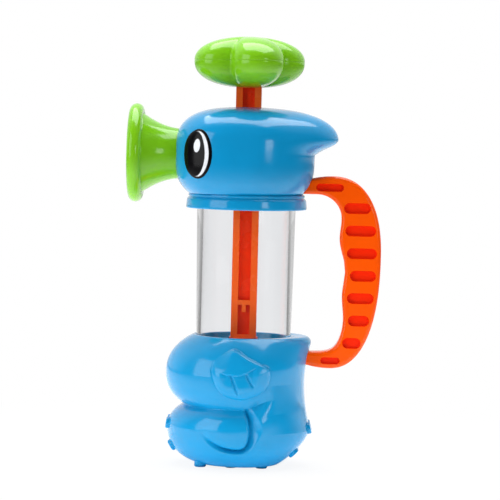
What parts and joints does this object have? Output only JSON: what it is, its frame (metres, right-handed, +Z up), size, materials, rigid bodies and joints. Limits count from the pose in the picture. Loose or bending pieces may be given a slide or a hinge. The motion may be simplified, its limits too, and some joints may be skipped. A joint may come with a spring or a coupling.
{
  "type": "hand_pump_water_squirter",
  "caption": "Seahorse hand pump squirter with a clear barrel, trumpet mouth, loop handle and clover knob on a rod",
  "frame": {"origin": "on the barrel axis at the plane that the feet stand on", "axes": "+Z up along the barrel axis, -X towards the mouth, +Y towards the screw side"},
  "size_m": [0.142, 0.0826, 0.2395],
  "materials": {
    "blue_plastic": "moulded gloss",
    "green_plastic": "moulded gloss",
    "orange_plastic": "moulded gloss",
    "red_plastic": "moulded gloss",
    "clear_plastic": "clear moulded",
    "white_plastic": "natural moulded",
    "eye_print": "printed gloss",
    "rubber": "soft moulded",
    "steel": "zinc plated"
  },
  "bodies": {
    "housing": {"rod_guide": "blue_plastic", "head_left_shell": "blue_plastic", "head_right_shell": "blue_plastic", "head_screws": "steel", "left_eye": "eye_print", "right_eye": "eye_print", "mouth_horn": "green_plastic", "collar_ring": "blue_plastic", "upper_gasket": "rubber", "barrel": "clear_plastic", "lower_gasket": "rubber", "body_left_shell": "blue_plastic", "body_right_shell": "blue_plastic", "body_screws": "steel", "handle": "orange_plastic", "foot_valve_seat": "white_plastic", "foot_valve_stem": "white_plastic", "intake_strainer": "blue_plastic"},
    "piston": {"knob_top_shell": "green_plastic", "knob_bottom_shell": "green_plastic", "knob_screw": "steel", "piston_rod": "red_plastic", "piston_head": "white_plastic", "piston_seal": "rubber", "piston_screw": "steel"},
    "piston_valve": {"piston_flap": "rubber"},
    "foot_valve": {"foot_valve_flap": "rubber"}
  },
  "joints": [
    {"name": "piston_stroke", "type": "slide", "parent": "housing", "child": "piston", "axis": [0, 0, 1], "range_m": [-0.01, 0.07]},
    {"name": "piston_valve_lift", "type": "slide", "parent": "piston", "child": "piston_valve", "axis": [0, 0, 1], "range_m": [0, 0.0024]},
    {"name": "foot_valve_lift", "type": "slide", "parent": "housing", "child": "foot_valve", "axis": [0, 0, 1], "range_m": [0, 0.0024]}
  ]
}
